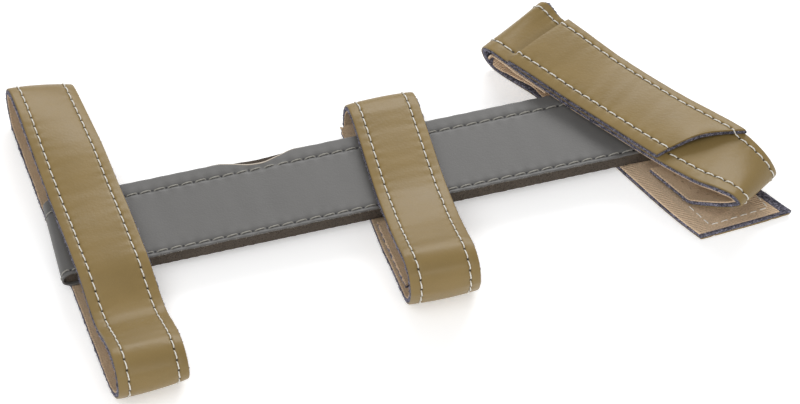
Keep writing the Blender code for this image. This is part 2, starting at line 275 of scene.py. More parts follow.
class Shape:
    """Vertices, faces, texture places and marks of one piece, gathered before its mesh is made."""

    def __init__(self):
        self.points = []
        self.quads = []
        self.quad_uv = []
        self.caps = []
        self.marks = {"pierce": [], "rim": []}
        self.count = 0

    def add(self, grid, uv, wrap_rows, marks=None):
        """A grid of rows by section points. The section always closes on itself."""
        rows, sec = grid.shape[:2]
        base = self.count
        self.points.append(grid.reshape(-1, 3))
        self.count += rows * sec
        for key, store in self.marks.items():
            values = (marks or {}).get(key)
            store.append(np.zeros(rows * sec) if values is None else values.reshape(-1))
        spans = rows if wrap_rows else rows - 1
        i = np.arange(spans)[:, None]
        j = np.arange(sec)[None, :]
        i2, j2 = (i + 1) % rows, (j + 1) % sec
        quads = np.stack([base + i * sec + j, base + i2 * sec + j,
                          base + i2 * sec + j2, base + i * sec + j2], -1)
        self.quads.append(quads.reshape(-1, 4))
        u, v = uv
        corners = ((0, 0), (1, 0), (1, 1), (0, 1))
        place = np.stack([np.stack([u[i + di] + 0 * j, v[j + dj] + 0 * i], -1) for di, dj in corners], 2)
        self.quad_uv.append(place.reshape(-1, 4, 2))
        return base

    def object(self, name, material, slot):
        """The mesh object. A cap's texture place comes from its place in space."""
        points = np.vstack(self.points) * MM
        uv = np.vstack(self.quad_uv).reshape(-1, 2) / UV_MM
        faces = np.vstack(self.quads).tolist() + self.caps
        mesh = bpy.data.meshes.new(name)
        mesh.from_pydata(points.tolist(), [], faces)
        mesh.uv_layers.new(name="strap")
        full = np.zeros((len(mesh.loops), 2))
        full[:len(uv)] = uv
        on_caps = points[[v for cap in self.caps for v in cap]] / (UV_MM * MM)
        full[len(uv):, 0] = on_caps[:, 0]
        full[len(uv):, 1] = on_caps[:, 1] + on_caps[:, 2]
        mesh.uv_layers["strap"].data.foreach_set("uv", full.reshape(-1))
        for key, store in self.marks.items():
            values = np.concatenate(store)
            if values.any():
                mesh.attributes.new(key, "FLOAT", "POINT").data.foreach_set("value", values)
        mesh.update()
        mesh.validate()
        mesh.shade_smooth()
        mesh.set_sharp_from_angle(angle=SHARP_ANGLE)
        obj = linked(name, mesh)
        mesh.materials.append(material)
        return obj

    def piece(self, name, material, slot, body, *nodes):
        """The mesh object as a piece that rides a body and stands for CAD nodes."""
        obj = self.object(name, material, slot)
        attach(obj, body)
        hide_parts(*nodes)
        return obj


def columns(half, seams, coarse):
    """Places across a layer, close together near its edges and its seams."""
    places = [-half, -half + 0.1, -half + 0.28, -half + 0.7]
    places += [half - 0.7, half - 0.28, half - 0.1, half]
    for seam in seams:
        places += [seam + k for k in (-1.3, -0.8, -0.45, -0.2, 0, 0.2, 0.45, 0.8, 1.3)]
    places += list(np.arange(-half + 1.4, half - 1.2, coarse))
    kept = []
    for place in sorted(places):
        if not kept or place - kept[-1] > 0.09:
            kept.append(place)
    kept[-1] = half
    return np.array(kept)


def hole_distance(u, phase, pitch):
    """Distance along a run to the nearest stitch hole."""
    along = (u - phase) / pitch
    return np.abs(along - np.round(along)) * pitch


def as_function(value):
    return value if callable(value) else (lambda *a: np.zeros_like(np.asarray(a[0], float)) + value)


def skewed(middle, skew, half):
    """An end that runs across a strap at an angle."""
    return lambda c: middle + skew * np.asarray(c, float) / half


def layer(run, half, seams, outer, inner, ends=None, sides=None, row=0.5, round_=0.25, walls=0,
          ragged=0.0, rows=None, coarse=1.25, pitch=STRAP_PITCH, phase=0.0, rim_width=0.35,
          shape=None):
    """One closed layer of a strap between two depths, added to a shape.

    ends and sides are limits along and across, row and coarse the steps in these directions, round_
    the radius of its long edges, walls the number of points in a cut side, and ragged its roughness.
    """
    shape = shape or Shape()
    cols = columns(half, seams, coarse)
    fraction = (cols + half) / (2 * half)
    left, right = (as_function(s) for s in (sides or (-half, half)))
    if ends is None:
        count = max(8, int(run.length / row))
        u = np.arange(count)[:, None] * run.length / count + 0 * fraction[None, :]
        u_marks = np.arange(count + 1) * run.length / count
    else:
        start, end = (as_function(e) for e in ends)
        middle = float(start(0.0)), float(end(0.0))
        count = max(4, int(abs(middle[1] - middle[0]) / row) + 1)
        share = np.linspace(0, 1, count) if rows is None else rows
        u = start(cols)[None, :] + (end(cols) - start(cols))[None, :] * share[:, None]
        u_marks = middle[0] + (middle[1] - middle[0]) * share
    lo, hi = left(u), right(u)
    c = lo + (hi - lo) * fraction[None, :]
    n, m = c.shape
    if ragged:
        for edge, weight in ((0, 1.0), (1, 0.5)):
            for side in (edge, -1 - edge):
                noise = RNG.normal(0, 1, n)
                noise = (noise + np.roll(noise, 1)) / 2
                c[:, side] += ragged * weight * noise
    rim = np.minimum(c - lo, hi - c)
    corner = round_ - np.sqrt(np.maximum(round_ ** 2 - np.maximum(round_ - rim, 0) ** 2, 0))
    top, bottom = as_function(outer)(u, c) + corner, as_function(inner)(u, c) - corner
    grid_top, grid_bottom = run.at(u, c, top), run.at(u, c, bottom)
    cut = [((k + 1) / (walls + 1), ragged * RNG.normal(0.3, 0.8, n)) for k in range(walls)]
    right_wall = [run.at(u[:, -1], c[:, -1] + push, top[:, -1] * (1 - t) + bottom[:, -1] * t)[:, None]
                  for t, push in cut]
    left_wall = [run.at(u[:, 0], c[:, 0] - push, bottom[:, 0] * (1 - t) + top[:, 0] * t)[:, None]
                 for t, push in cut]
    grid = np.concatenate([grid_top, *right_wall, grid_bottom[:, ::-1], *left_wall], 1)
    section = grid.shape[1]
    thick = float(np.mean(bottom - top))
    wall_v = np.linspace(0, thick, walls + 2)[1:-1]
    v = np.concatenate([cols, half + wall_v, half + thick + (half - cols[::-1]),
                        3 * half + thick + wall_v, [3 * half + 2 * thick]])
    gap = hole_distance(u, phase, pitch)
    holes = np.zeros((n, m))
    for seam in seams:
        holes = np.maximum(holes, np.exp(-((c - seam) ** 2 + gap ** 2) / 0.55 ** 2))
    edge = np.exp(-rim / rim_width)
    pierce, rims = np.zeros((n, section)), np.ones((n, section))
    for store, values in ((pierce, holes), (rims, edge)):
        store[:, :m] = values
        store[:, m + walls:2 * m + walls] = values[:, ::-1]
    base = shape.add(grid, (u_marks, v), ends is None, {"pierce": pierce, "rim": rims})
    if ends is not None:
        for first, flip in ((base, False), (base + (n - 1) * section, True)):
            tops = [first + j for j in range(m)]
            unders = [first + 2 * m + walls - 1 - j for j in range(m)]
            rights = [first + m + k for k in range(walls)]
            lefts = [first + 2 * m + walls + k for k in range(walls)]
            for j in range(m - 1):
                face = [tops[j], tops[j + 1]]
                face += rights if j == m - 2 else []
                face += [unders[j + 1], unders[j]]
                face += lefts if j == 0 else []
                shape.caps.append(face[::-1] if flip else face)
    return shape


def tubes(shape, centres, radii, up, sides, lobe=0.0, twist=0.0, mark=None, level=1.0):
    """Closed tubes, one for each row of centres (count, rings, 3)."""
    count, rings = centres.shape[:2]
    along = unit(np.gradient(centres, axis=1))
    up = np.broadcast_to(up, centres.shape)
    up = unit(up - along * (up * along).sum(-1, keepdims=True))
    side = np.cross(along, up)
    angle = np.arange(sides) * 2 * math.pi / sides
    turn = np.linspace(0, twist, rings)
    swell = 1 + lobe * np.cos(2 * (angle[None, :] - turn[:, None]))
    reach = radii[..., None] * swell[None]
    ring = (side[:, :, None] * (np.cos(angle)[None, None, :, None] * reach[..., None])
            + up[:, :, None] * (np.sin(angle)[None, None, :, None] * reach[..., None]))
    grid = centres[:, :, None] + ring
    grid[..., 2] = np.maximum(grid[..., 2], TUBE_LOW)
    step = float(np.mean(np.linalg.norm(np.diff(centres, axis=1), axis=-1)))
    u = np.arange(rings + 1) * step
    v = np.arange(sides + 1) * 2 * math.pi * float(np.mean(radii)) / sides
    for k in range(count):
        marks = None if mark is None else {mark: np.full((rings, sides), level)}
        base = shape.add(grid[k], (u + TUBE_SHIFT * k, v), False, marks)
        shape.caps.append([base + j for j in range(sides)])
        shape.caps.append([base + (rings - 1) * sides + j for j in range(sides)][::-1])


def arch(rise, sink):
    """Height of a lockstitch along itself: its ends dive into their holes."""
    return rise - sink * np.abs(2 * STITCH_PLACES - 1) ** 5


def thread(shape, centres, up, radius=THREAD_RADIUS):
    """Twisted stitches, each a little thinner at its ends."""
    size = radius * (0.72 + 0.28 * np.sin(math.pi * STITCH_PLACES) ** 0.5)
    tubes(shape, centres, np.broadcast_to(size, centres.shape[:2]), up, THREAD_SIDES, THREAD_LOBE,
          THREAD_TWIST)


def stitches(run, seam, first, last, pitch, phase, rise=0.16, slant=0.14, lift=None):
    """A row of lockstitches on the outer face, from the first hole to the last one."""
    k0 = math.ceil((first - phase) / pitch - 1e-6)
    k1 = math.floor((last - phase) / pitch + 1e-6)
    holes = phase + np.arange(k0, k1) * pitch
    s = STITCH_PLACES
    bow = RNG.normal(0, 0.06, (len(holes), 1)) * np.sin(math.pi * s)
    u = holes[:, None] + pitch * (0.10 + 0.80 * s)[None, :]
    c = seam + slant * (2 * s - 1)[None, :] + bow
    high = arch(rise, 0.85)[None, :] + 0.5 * bow
    if lift is not None:
        high = high + lift(u, c)
    centres = run.at(u, c, -high)
    centres[..., 2] = np.maximum(centres[..., 2], STITCH_LOW)
    shape = Shape()
    thread(shape, centres, unit(run.sample(run.outward, u)))
    return shape


def sewn_sides(corners, pitch):
    """Points of the stitches along each side of a sewn outline, in the plane of its corners."""
    corners = np.array(corners, float)
    for a, b in zip(corners, corners[1:]):
        count = max(1, round(float(np.linalg.norm(b - a)) / pitch))
        t = (np.arange(count)[:, None] + 0.08 + 0.84 * STITCH_PLACES[None, :]) / count
        yield a + (b - a) * t[..., None]


def fuzz(shape, run, edge, side, first, last, per_mm=3.0, depths=(0.85, 2.15), length=(0.3, 1.0),
         mark="pierce", level=1.0):
    """Loose fibres standing out from a cut edge."""
    count = int((last - first) * per_mm)
    u = RNG.uniform(first, last, count)
    depth = RNG.uniform(*depths, count)
    reach = RNG.uniform(*length, count)
    lean_u, lean_d = RNG.normal(0, 0.8, count), RNG.normal(0, 0.45, count)
    curl_u, curl_d = RNG.normal(0, 0.5, count), RNG.normal(0, 0.4, count)
    s = np.linspace(0, 1, FIBRE_RINGS)[None, :]
    out = reach[:, None] * s
    c = as_function(edge)(u)[:, None] + side * (out * 0.8 - 0.15)
    u = u[:, None] + lean_u[:, None] * out * 0.6 + curl_u[:, None] * (out ** 2)
    depth = depth[:, None] + lean_d[:, None] * out * 0.6 + curl_d[:, None] * (out ** 2)
    centres = run.at(u, c, depth)
    centres[..., 2] = np.maximum(centres[..., 2], FIBRE_LOW)
    radii = np.broadcast_to(FIBRE_RADIUS * (1 - 0.6 * s), u.shape)
    tubes(shape, centres, radii, np.array([0.13, 0.21, 0.97]), 3, mark=mark, level=level)


# ---------------- materials

class Graph:
    """A short way to write a material's nodes."""

    def __init__(self, name, colour, roughness, **sockets):
        self.mat = bpy.data.materials.new(name)
        self.mat.use_nodes = True
        self.tree = self.mat.node_tree
        self.shader = self.tree.nodes["Principled BSDF"]
        self.shader.inputs["Base Color"].default_value = (*colour, 1)
        self.shader.inputs["Roughness"].default_value = roughness
        for key, value in sockets.items():
            self.shader.inputs[key.replace("_", " ")].default_value = value
        self.uv = self.new("ShaderNodeUVMap")
        self.uv.uv_map = "strap"
        self.where = self.uv.outputs[0]

    def new(self, kind, **inputs):
        node = self.tree.nodes.new(kind)
        for key, value in inputs.items():
            self.put(node.inputs[key.replace("_", " ")], value)
        return node

    def put(self, socket, value):
        if isinstance(value, bpy.types.NodeSocket):
            self.tree.links.new(value, socket)
        else:
            socket.default_value = value

    def noise(self, size_mm, detail=2.0, rough=0.5, stretch=None):
        """Noise whose features are about size_mm across."""
        source = self.where
        if stretch:
            source = self.new("ShaderNodeMapping", Vector=source, Scale=stretch).outputs[0]
        return self.new("ShaderNodeTexNoise", Vector=source, Scale=UV_MM / size_mm, Detail=detail,
                        Roughness=rough).outputs["Fac"]

    def cells(self, size_mm, feature="F1"):
        """Distance to the middle of cells that are about size_mm across."""
        node = self.new("ShaderNodeTexVoronoi", Vector=self.where, Scale=UV_MM / size_mm)
        node.feature = feature
        return node.outputs["Distance"]

    def ribs(self, pitch_mm):
        """Lines across the strap, pitch_mm apart."""
        node = self.new("ShaderNodeTexWave", Vector=self.where, Scale=WAVE_SCALE / pitch_mm,
                        Distortion=0.4, Detail=1.0)
        node.bands_direction = "X"
        return node.outputs["Fac"]

    def ramp(self, value, low, high, to_low=0.0, to_high=1.0):
        """A value mapped from one range to another, and kept inside it."""
        node = self.new("ShaderNodeMapRange", Value=value)
        limits = {"From Min": low, "From Max": high, "To Min": to_low, "To Max": to_high}
        for key, number in limits.items():
            node.inputs[key].default_value = number
        return node.outputs[0]

    def maths(self, operation, a, b):
        node = self.new("ShaderNodeMath")
        node.operation = operation
        for socket, value in zip(node.inputs, (a, b)):
            self.put(socket, value)
        return node.outputs[0]

    def mix(self, factor, a, b):
        """Colour a where the factor is 0 and colour b where it is 1."""
        node = self.new("ShaderNodeMix")
        node.data_type = "RGBA"
        self.put(node.inputs[0], factor)
        for socket, value in ((node.inputs[6], a), (node.inputs[7], b)):
            self.put(socket, (*value, 1) if isinstance(value, tuple) else value)
        return node.outputs[2]

    def mark(self, name):
        node = self.new("ShaderNodeAttribute")
        node.attribute_name = name
        return node.outputs["Fac"]

    def colour(self, value):
        self.put(self.shader.inputs["Base Color"], value)

    def roughness(self, value):
        self.put(self.shader.inputs["Roughness"], value)

    def bump(self, heights):
        """Bumps from (height, distance in mm) pairs, the coarsest first."""
        normal = None
        for height, distance in heights:
            node = self.new("ShaderNodeBump", Height=height, Distance=distance * MM, Strength=1.0)
            if normal is not None:
                self.put(node.inputs["Normal"], normal)
            normal = node.outputs[0]
        self.put(self.shader.inputs["Normal"], normal)


def shade(colour, factor):
    return tuple(min(1.0, channel * factor) for channel in colour)


def vinyl(name, colour, grain_mm, depth_mm, roughness, edge):
    """Smooth coated sheet: fine grain, faint scuffs, worn edges, and painted shade in the needle holes.

    A rim mark over 1.2 shows the pale backing instead.
    """
    g = Graph(name, colour, roughness, Specular_IOR_Level=0.32)
    grain = g.cells(grain_mm, "SMOOTH_F1")
    fine = g.noise(grain_mm * 0.45, 3.0)
    broad = g.noise(22.0, 3.0, 0.6)
    tone = g.mix(g.ramp(broad, 0.3, 0.7), shade(colour, 0.93), shade(colour, 1.07))
    tone = g.mix(g.ramp(fine, 0.35, 0.7, 0.0, 0.22), tone, shade(colour, 0.82))
    tone = g.mix(g.ramp(grain, 0.05, 0.4, 0.10, 0.0), tone, shade(colour, 1.3))
    scuff = g.noise(6.0, 5.0, 0.7, stretch=(0.5, 1.6, 1.0))
    tone = g.mix(g.ramp(scuff, 0.62, 0.78, 0.0, 0.14), tone, shade(colour, 1.35))
    tone = g.mix(g.ramp(g.mark("rim"), 0.55, 1.0, 0.0, 0.8), tone, edge)
    tone = g.mix(g.ramp(g.mark("rim"), 1.2, 1.8), tone, BACKING)
    # The needle holes are painted near-black: painted shade inside the holes.
    tone = g.mix(g.ramp(g.mark("pierce"), 0.25, 0.75, 0.0, 0.92), tone, HOLE_SHADE)
    g.colour(tone)
    g.roughness(g.ramp(g.maths("ADD", fine, broad), 0.7, 1.3, roughness - 0.06, roughness + 0.09))
    g.bump([(broad, 0.06), (grain, depth_mm), (fine, depth_mm * 0.5)])
    return g.mat


def felt(name, colour, fibre):
    """Matted fibres, with paler loose ones where the pierce mark is."""
    g = Graph(name, colour, 0.97, Specular_IOR_Level=0.15, Sheen_Weight=0.4, Sheen_Roughness=0.55)
    g.shader.inputs["Sheen Tint"].default_value = (*fibre, 1)
    hair = g.noise(0.55, 4.0, 0.75, stretch=(1.0, 0.6, 1.0))
    clump = g.noise(1.9, 3.0, 0.6)
    tone = g.mix(g.ramp(hair, 0.44, 0.62), colour, fibre)
    tone = g.mix(g.ramp(clump, 0.38, 0.56, 0.75, 0.0), tone, shade(colour, 0.4))
    tone = g.mix(g.ramp(g.mark("pierce"), 0.1, 0.9, 0.0, 0.85), tone, shade(fibre, 1.35))
    g.colour(tone)
    g.bump([(clump, 0.35), (hair, 0.22)])
    return g.mat


def brushed(name, colour, nap_mm, rib_mm):
    """Napped textile, ribbed near its edges, with painted shade in its needle holes."""
    g = Graph(name, colour, 0.95, Specular_IOR_Level=0.2, Sheen_Weight=0.3, Sheen_Roughness=0.5)
    g.shader.inputs["Sheen Tint"].default_value = (*shade(colour, 1.8), 1)
    nap = g.noise(nap_mm, 5.0, 0.7)
    clump = g.noise(nap_mm * 5, 3.0, 0.6)
    tone = g.mix(g.ramp(nap, 0.32, 0.7), shade(colour, 0.62), shade(colour, 1.35))
    tone = g.mix(g.ramp(clump, 0.35, 0.7, 0.0, 0.3), tone, shade(colour, 1.25))
    line = g.maths("MULTIPLY", g.ribs(rib_mm), g.ramp(g.mark("rim"), 0.16, 0.26))
    tone = g.mix(g.maths("MULTIPLY", line, 0.6), tone, shade(colour, 1.6))
    tone = g.mix(g.ramp(g.mark("rim"), 0.75, 1.0, 0.0, 0.6), tone, shade(colour, 1.7))
    # Needle holes painted dark: painted shade inside the holes.
    tone = g.mix(g.ramp(g.mark("pierce"), 0.3, 0.8, 0.0, 0.7), tone, shade(colour, 0.2))
    g.colour(tone)
    g.bump([(clump, 0.3), (nap, 0.2), (line, 0.2)])
    return g.mat


def foam(name, colour):
    """Open pores of a cut foam, with painted shade in their pits."""
    g = Graph(name, colour, 0.92, Specular_IOR_Level=0.25)
    pores = g.cells(0.75)
    small = g.noise(0.35, 4.0, 0.7)
    broad = g.noise(7.0, 3.0)
    # The pits of the pores are painted darker: painted shade inside them.
    tone = g.mix(g.ramp(pores, 0.05, 0.42, 0.0, 1.0), shade(colour, 0.35), shade(colour, 1.1))
    tone = g.mix(g.ramp(small, 0.55, 0.75, 0.0, 0.5), tone, shade(colour, 1.9))
    tone = g.mix(g.ramp(broad, 0.35, 0.7, 0.0, 0.3), tone, shade(colour, 0.6))
    g.colour(tone)
    g.bump([(broad, 0.5), (pores, 0.22), (small, 0.12)])
    return g.mat


def spun(name, colour):
    """Spun thread."""
    g = Graph(name, colour, 0.62, Specular_IOR_Level=0.35, Sheen_Weight=0.25, Sheen_Roughness=0.4)
    lay = g.noise(0.22, 3.0, 0.6, stretch=(0.5, 1.6, 1.0))
    run = g.noise(3.0, 2.0)
    tone = g.mix(g.ramp(lay, 0.35, 0.7), shade(colour, 0.72), shade(colour, 1.1))
    tone = g.mix(g.ramp(run, 0.4, 0.7, 0.0, 0.3), tone, shade(colour, 0.8))
    g.colour(tone)
    g.bump([(lay, 0.06)])
    return g.mat


BACKING = (0.62, 0.55, 0.46)
# Near-black for the needle holes: painted shade.
HOLE_SHADE = (0.012, 0.011, 0.012)
MAT_KHAKI = vinyl("khaki_vinyl", (0.238, 0.163, 0.058), 0.85, 0.035, 0.40, (0.15, 0.105, 0.05))
MAT_GREY = vinyl("grey_vinyl", (0.126, 0.123, 0.119), 0.6, 0.025, 0.42, (0.10, 0.095, 0.09))
MAT_FELT = felt("felt", (0.042, 0.040, 0.052), (0.31, 0.30, 0.38))
MAT_LINING = brushed("brushed_lining", (0.47, 0.35, 0.235), 0.30, 1.1)
MAT_PILE = brushed("pile_tape", (0.56, 0.42, 0.29), 0.55, RIB_PITCH)
MAT_HOOK = brushed("hook_tape", (0.42, 0.33, 0.23), 0.25, 1.2)
MAT_FOAM = foam("foam", (0.074, 0.059, 0.046))
MAT_CREAM = spun("cream_thread", (0.86, 0.83, 0.76))
MAT_GREY_THREAD = spun("grey_thread", (0.37, 0.355, 0.315))


# ---------------- strap pieces

def face_relief(seams, half, pitch, phase, run):
    """Depth of a vinyl face: seam grooves, needle dimples, puckers and a turned-down rim."""
    ripple = Waves(run.length, 5, 14)

    def depth(u, c):
        gap = hole_distance(u, phase, pitch)
        pucker = np.cos(2 * math.pi * (u - phase) / pitch)
        groove = 0.22 * (1 + 0.9 * (1 - run.sample(run.free, u)))
        height = 0.02 * ripple(u, c)
        for seam in seams:
            side = c - seam
            height = height - groove * np.exp(-(side / 0.55) ** 2)
            height = height - 0.26 * np.exp(-(side ** 2 + gap ** 2) / 0.45 ** 2)
            height = height - 0.06 * pucker * np.exp(-(side / 2.2) ** 2)
        rim = np.maximum(half - np.abs(c), 0)
        return 0.16 * np.exp(-rim / 0.6) - height
    return depth


def face_layer(run, half, seams, pitch=STRAP_PITCH, phase=0.0, ends=None, sides=None):
    """The vinyl face of a strap."""
    return layer(run, half, seams, face_relief(seams, half, pitch, phase, run), FACE_UNDER, ends, sides,
                 pitch=pitch, phase=phase, round_=0.28)


def felt_layer(run, half, ends=None, sides=None, top=CORE_TOP, under=CORE_UNDER):
    """A felt core with ragged cut sides."""
    return layer(run, half + 0.05, [], top, under, ends, sides, row=0.7, round_=0.2, walls=2,
                 ragged=0.16, coarse=2.4)


def lining_layer(run, half, seams, under, ends=None, top=LINING_TOP, pitch=STRAP_PITCH, phase=0.0):
    """The brushed lining inside a strap."""
    return layer(run, half - 0.1, seams, top, under, ends, row=0.8, round_=0.22, ragged=0.05,
                 coarse=1.8, pitch=pitch, phase=phase)


def loop_layers(name, run, buckle):
    """Vinyl face, felt core, brushed lining and both thread rows of a closed loop.

    buckle says how far the lining stands off the felt.
    """
    pitch = run.length / round(run.length / STRAP_PITCH)
    inset = LOOP_HALF - SEAM_INSET
    seams = [-inset, inset]
    face = face_layer(run, LOOP_HALF, seams, pitch)
    core = felt_layer(run, LOOP_HALF)
    for side in (-1, 1):
        fuzz(core, run, side * LOOP_HALF, side, 0, run.length)
    wave = Waves(run.length, 6, 20)
    lining = lining_layer(run, LOOP_HALF, seams, pitch=pitch, top=lambda u, c: LINING_TOP + buckle(u, c),
                          under=lambda u, c: STRAP_THICK + buckle(u, c) + 0.05 * wave(u, c))
    face.piece(name + "_vinyl_face", MAT_KHAKI, "khaki_vinyl", name, name + "_face")
    core.piece(name + "_felt_core", MAT_FELT, "felt_core", name, name + "_core")
    lining.piece(name + "_brushed_lining", MAT_LINING, "tan_lining", name, name + "_lining")
    for side, seam in zip(("left", "right"), seams):
        shape = stitches(run, seam, 0, run.length, pitch, 0.0)
        shape.piece(name + "_thread_" + side, MAT_CREAM, "cream_thread", name, name + "_stitch_" + side)


def join_seam(name, run, across, along, depth, body, node):
    """A box of stitches sewn flat on the lining."""
    (c0, c1), (u0, u1) = across, along
    shape = Shape()
    for places in sewn_sides([(u0, c0), (u0, c1), (u1, c1), (u1, c0), (u0, c0)], JOIN_PITCH):
        u, c = places[..., 0], places[..., 1]
        thread(shape, run.at(u, c, depth + arch(0.12, 0.75)[None, :]), -unit(run.sample(run.outward, u)))
    shape.piece(name, MAT_CREAM, "cream_thread", body, node)


def build_left_loop():
    outline = [(-58, 0, -0.8, 0), (-30, 0, -0.8, 0), (0, 0, -0.8, 0), (32, 0, -0.8, 0), (60, 0, -0.6, 0),
               (69.5, 2.6, -0.3, -6), (72.6, 8.3, 0.1, -13), (68.3, 13.4, 0.6, -16),
               (56, 15.6, 1.0, -15), (42, 15.6, 1.1, -10), (26, 15.1, 1.2, -4), (8, 14.6, 1.3, 0),
               (-10, 14.7, 1.3, 0), (-22, 14.2, 1.3, 0), (-33, 10.8, 1.2, -1), (-43, 10.6, 1.1, -4),
               (-54, 16.2, 1.0, -7), (-64, 20.0, 0.8, -8), (-71, 17.0, 0.5, -7),
               (-73, 9.5, 0.1, -4), (-68, 2.2, -0.4, 0)]
    run = Run(outline, LEFT_LOOP_AT, True, wave=0.16, crown=0.5)
    low = run.find(0, False)
    # Where the lining stands loose at the loop's left side: distance from the strip, height, width
    loose = ((50, 2.6, 7), (33, 1.8, 6), (-32, 1.1, 5), (-47, 1.4, 5), (-60, 0.8, 4))

    def buckle(u, c):
        total = sum(height * bump_at(u, low + place, width) for place, height, width in loose)
        return total * (0.5 - 0.5 * c / LOOP_HALF)
    loop_layers("left_loop", run, buckle)
    join_seam("left_loop_join_thread", run, (-8.5, 8.5), (low + 22.4, low + 29.6), STRAP_THICK,
              "left_loop", "left_loop_join_stitch")


def build_middle_loop():
    outline = [(-48, 0, 0.2, 0), (-38, 0, -0.7, 0), (-28, 0, -1.7, 0), (-4, 0, -2.7, 0),
               (20, 0, -2.0, 0), (29.4, 1.6, -1.5, 0), (33.0, 7.3, -0.7, 0), (30.8, 12.8, 0, 0),
               (24, 14.9, 0.3, 0), (13, 14.9, 0.3, 0), (-4, 14.6, 0.2, 0), (-18, 14.9, 0.2, 0),
               (-31, 17.0, 0.2, 0), (-43, 20.8, 0.2, 0), (-52.5, 23.6, 0.3, 0), (-59.3, 21.4, 0.6, 0),
               (-62.0, 14.0, 0.7, 0), (-59.6, 6.0, 0.7, 0), (-55, 1.1, 0.6, 0)]
    run = Run(outline, MIDDLE_LOOP_AT, True, wave=0.14, crown=0.5)
    loop_layers("middle_loop", run, lambda u, c: 0.0)

    # The overlapping end of the band, on both sides of the strip
    lap = Run([(-50, 0, 1.9, 0), (-42, 0, 1.1, 0), (-30, 0, -0.1, 0), (-19.5, 0, -0.9, 0)],
              MIDDLE_LOOP_AT, False)
    far_lap = Run([(18.6, 0, -2.9, 0), (24, 0.2, -3.0, 0), (28.4, 1.5, -3.0, 0)], MIDDLE_LOOP_AT, False)
    lap_under = 4.85
    for kind, node, top, under, material, slot in (
            ("felt_core", "middle_loop_lap_core", 2.85, 4.15, MAT_FELT, "felt_core"),
            ("brushed_lining", "middle_loop_lap_lining", 4.13, lap_under, MAT_LINING, "tan_lining")):
        shape = Shape()
        for part in (lap, far_lap):
            ends = (lambda c: 0.5 * np.sin(c * 2.1),
                    lambda c, end=part.length: end + 0.6 * np.sin(c * 1.7))
            layer(part, LOOP_HALF, [], top, under, ends, row=0.7, walls=1, ragged=0.2, coarse=1.2,
                  round_=0.2, shape=shape)
            if kind == "felt_core":
                fuzz(shape, part, -LOOP_HALF, -1, 0, part.length, depths=(2.95, 4.05))
        shape.piece("middle_loop_lap_" + kind, material, slot, "middle_loop", node)
    join_seam("middle_loop_join_thread", lap, (-6.9, 9.9), (5.4, 23.6), lap_under, "middle_loop",
              "middle_loop_join_stitch")


# ---------------- grip strip

def strip_course():
    """From the plain end along the top, round the folded end, and back underneath."""
    r, middle = STRIP_REACH, STRIP_BOTTOM + STRIP_REACH
    points = [(y, middle + r, 0, 0) for y in np.arange(STRIP_LENGTH, r + 0.5, -1.0)]
    points += [(r + r * math.cos(a), middle + r * math.sin(a), 0, 0)
               for a in np.radians(np.linspace(90, 270, 25))]
    points += [(y, middle - r, 0, 0) for y in np.arange(r + 1.0, HEM_LENGTH, 1.0)]
    return points + [(HEM_LENGTH, middle - r, 0, 0)]


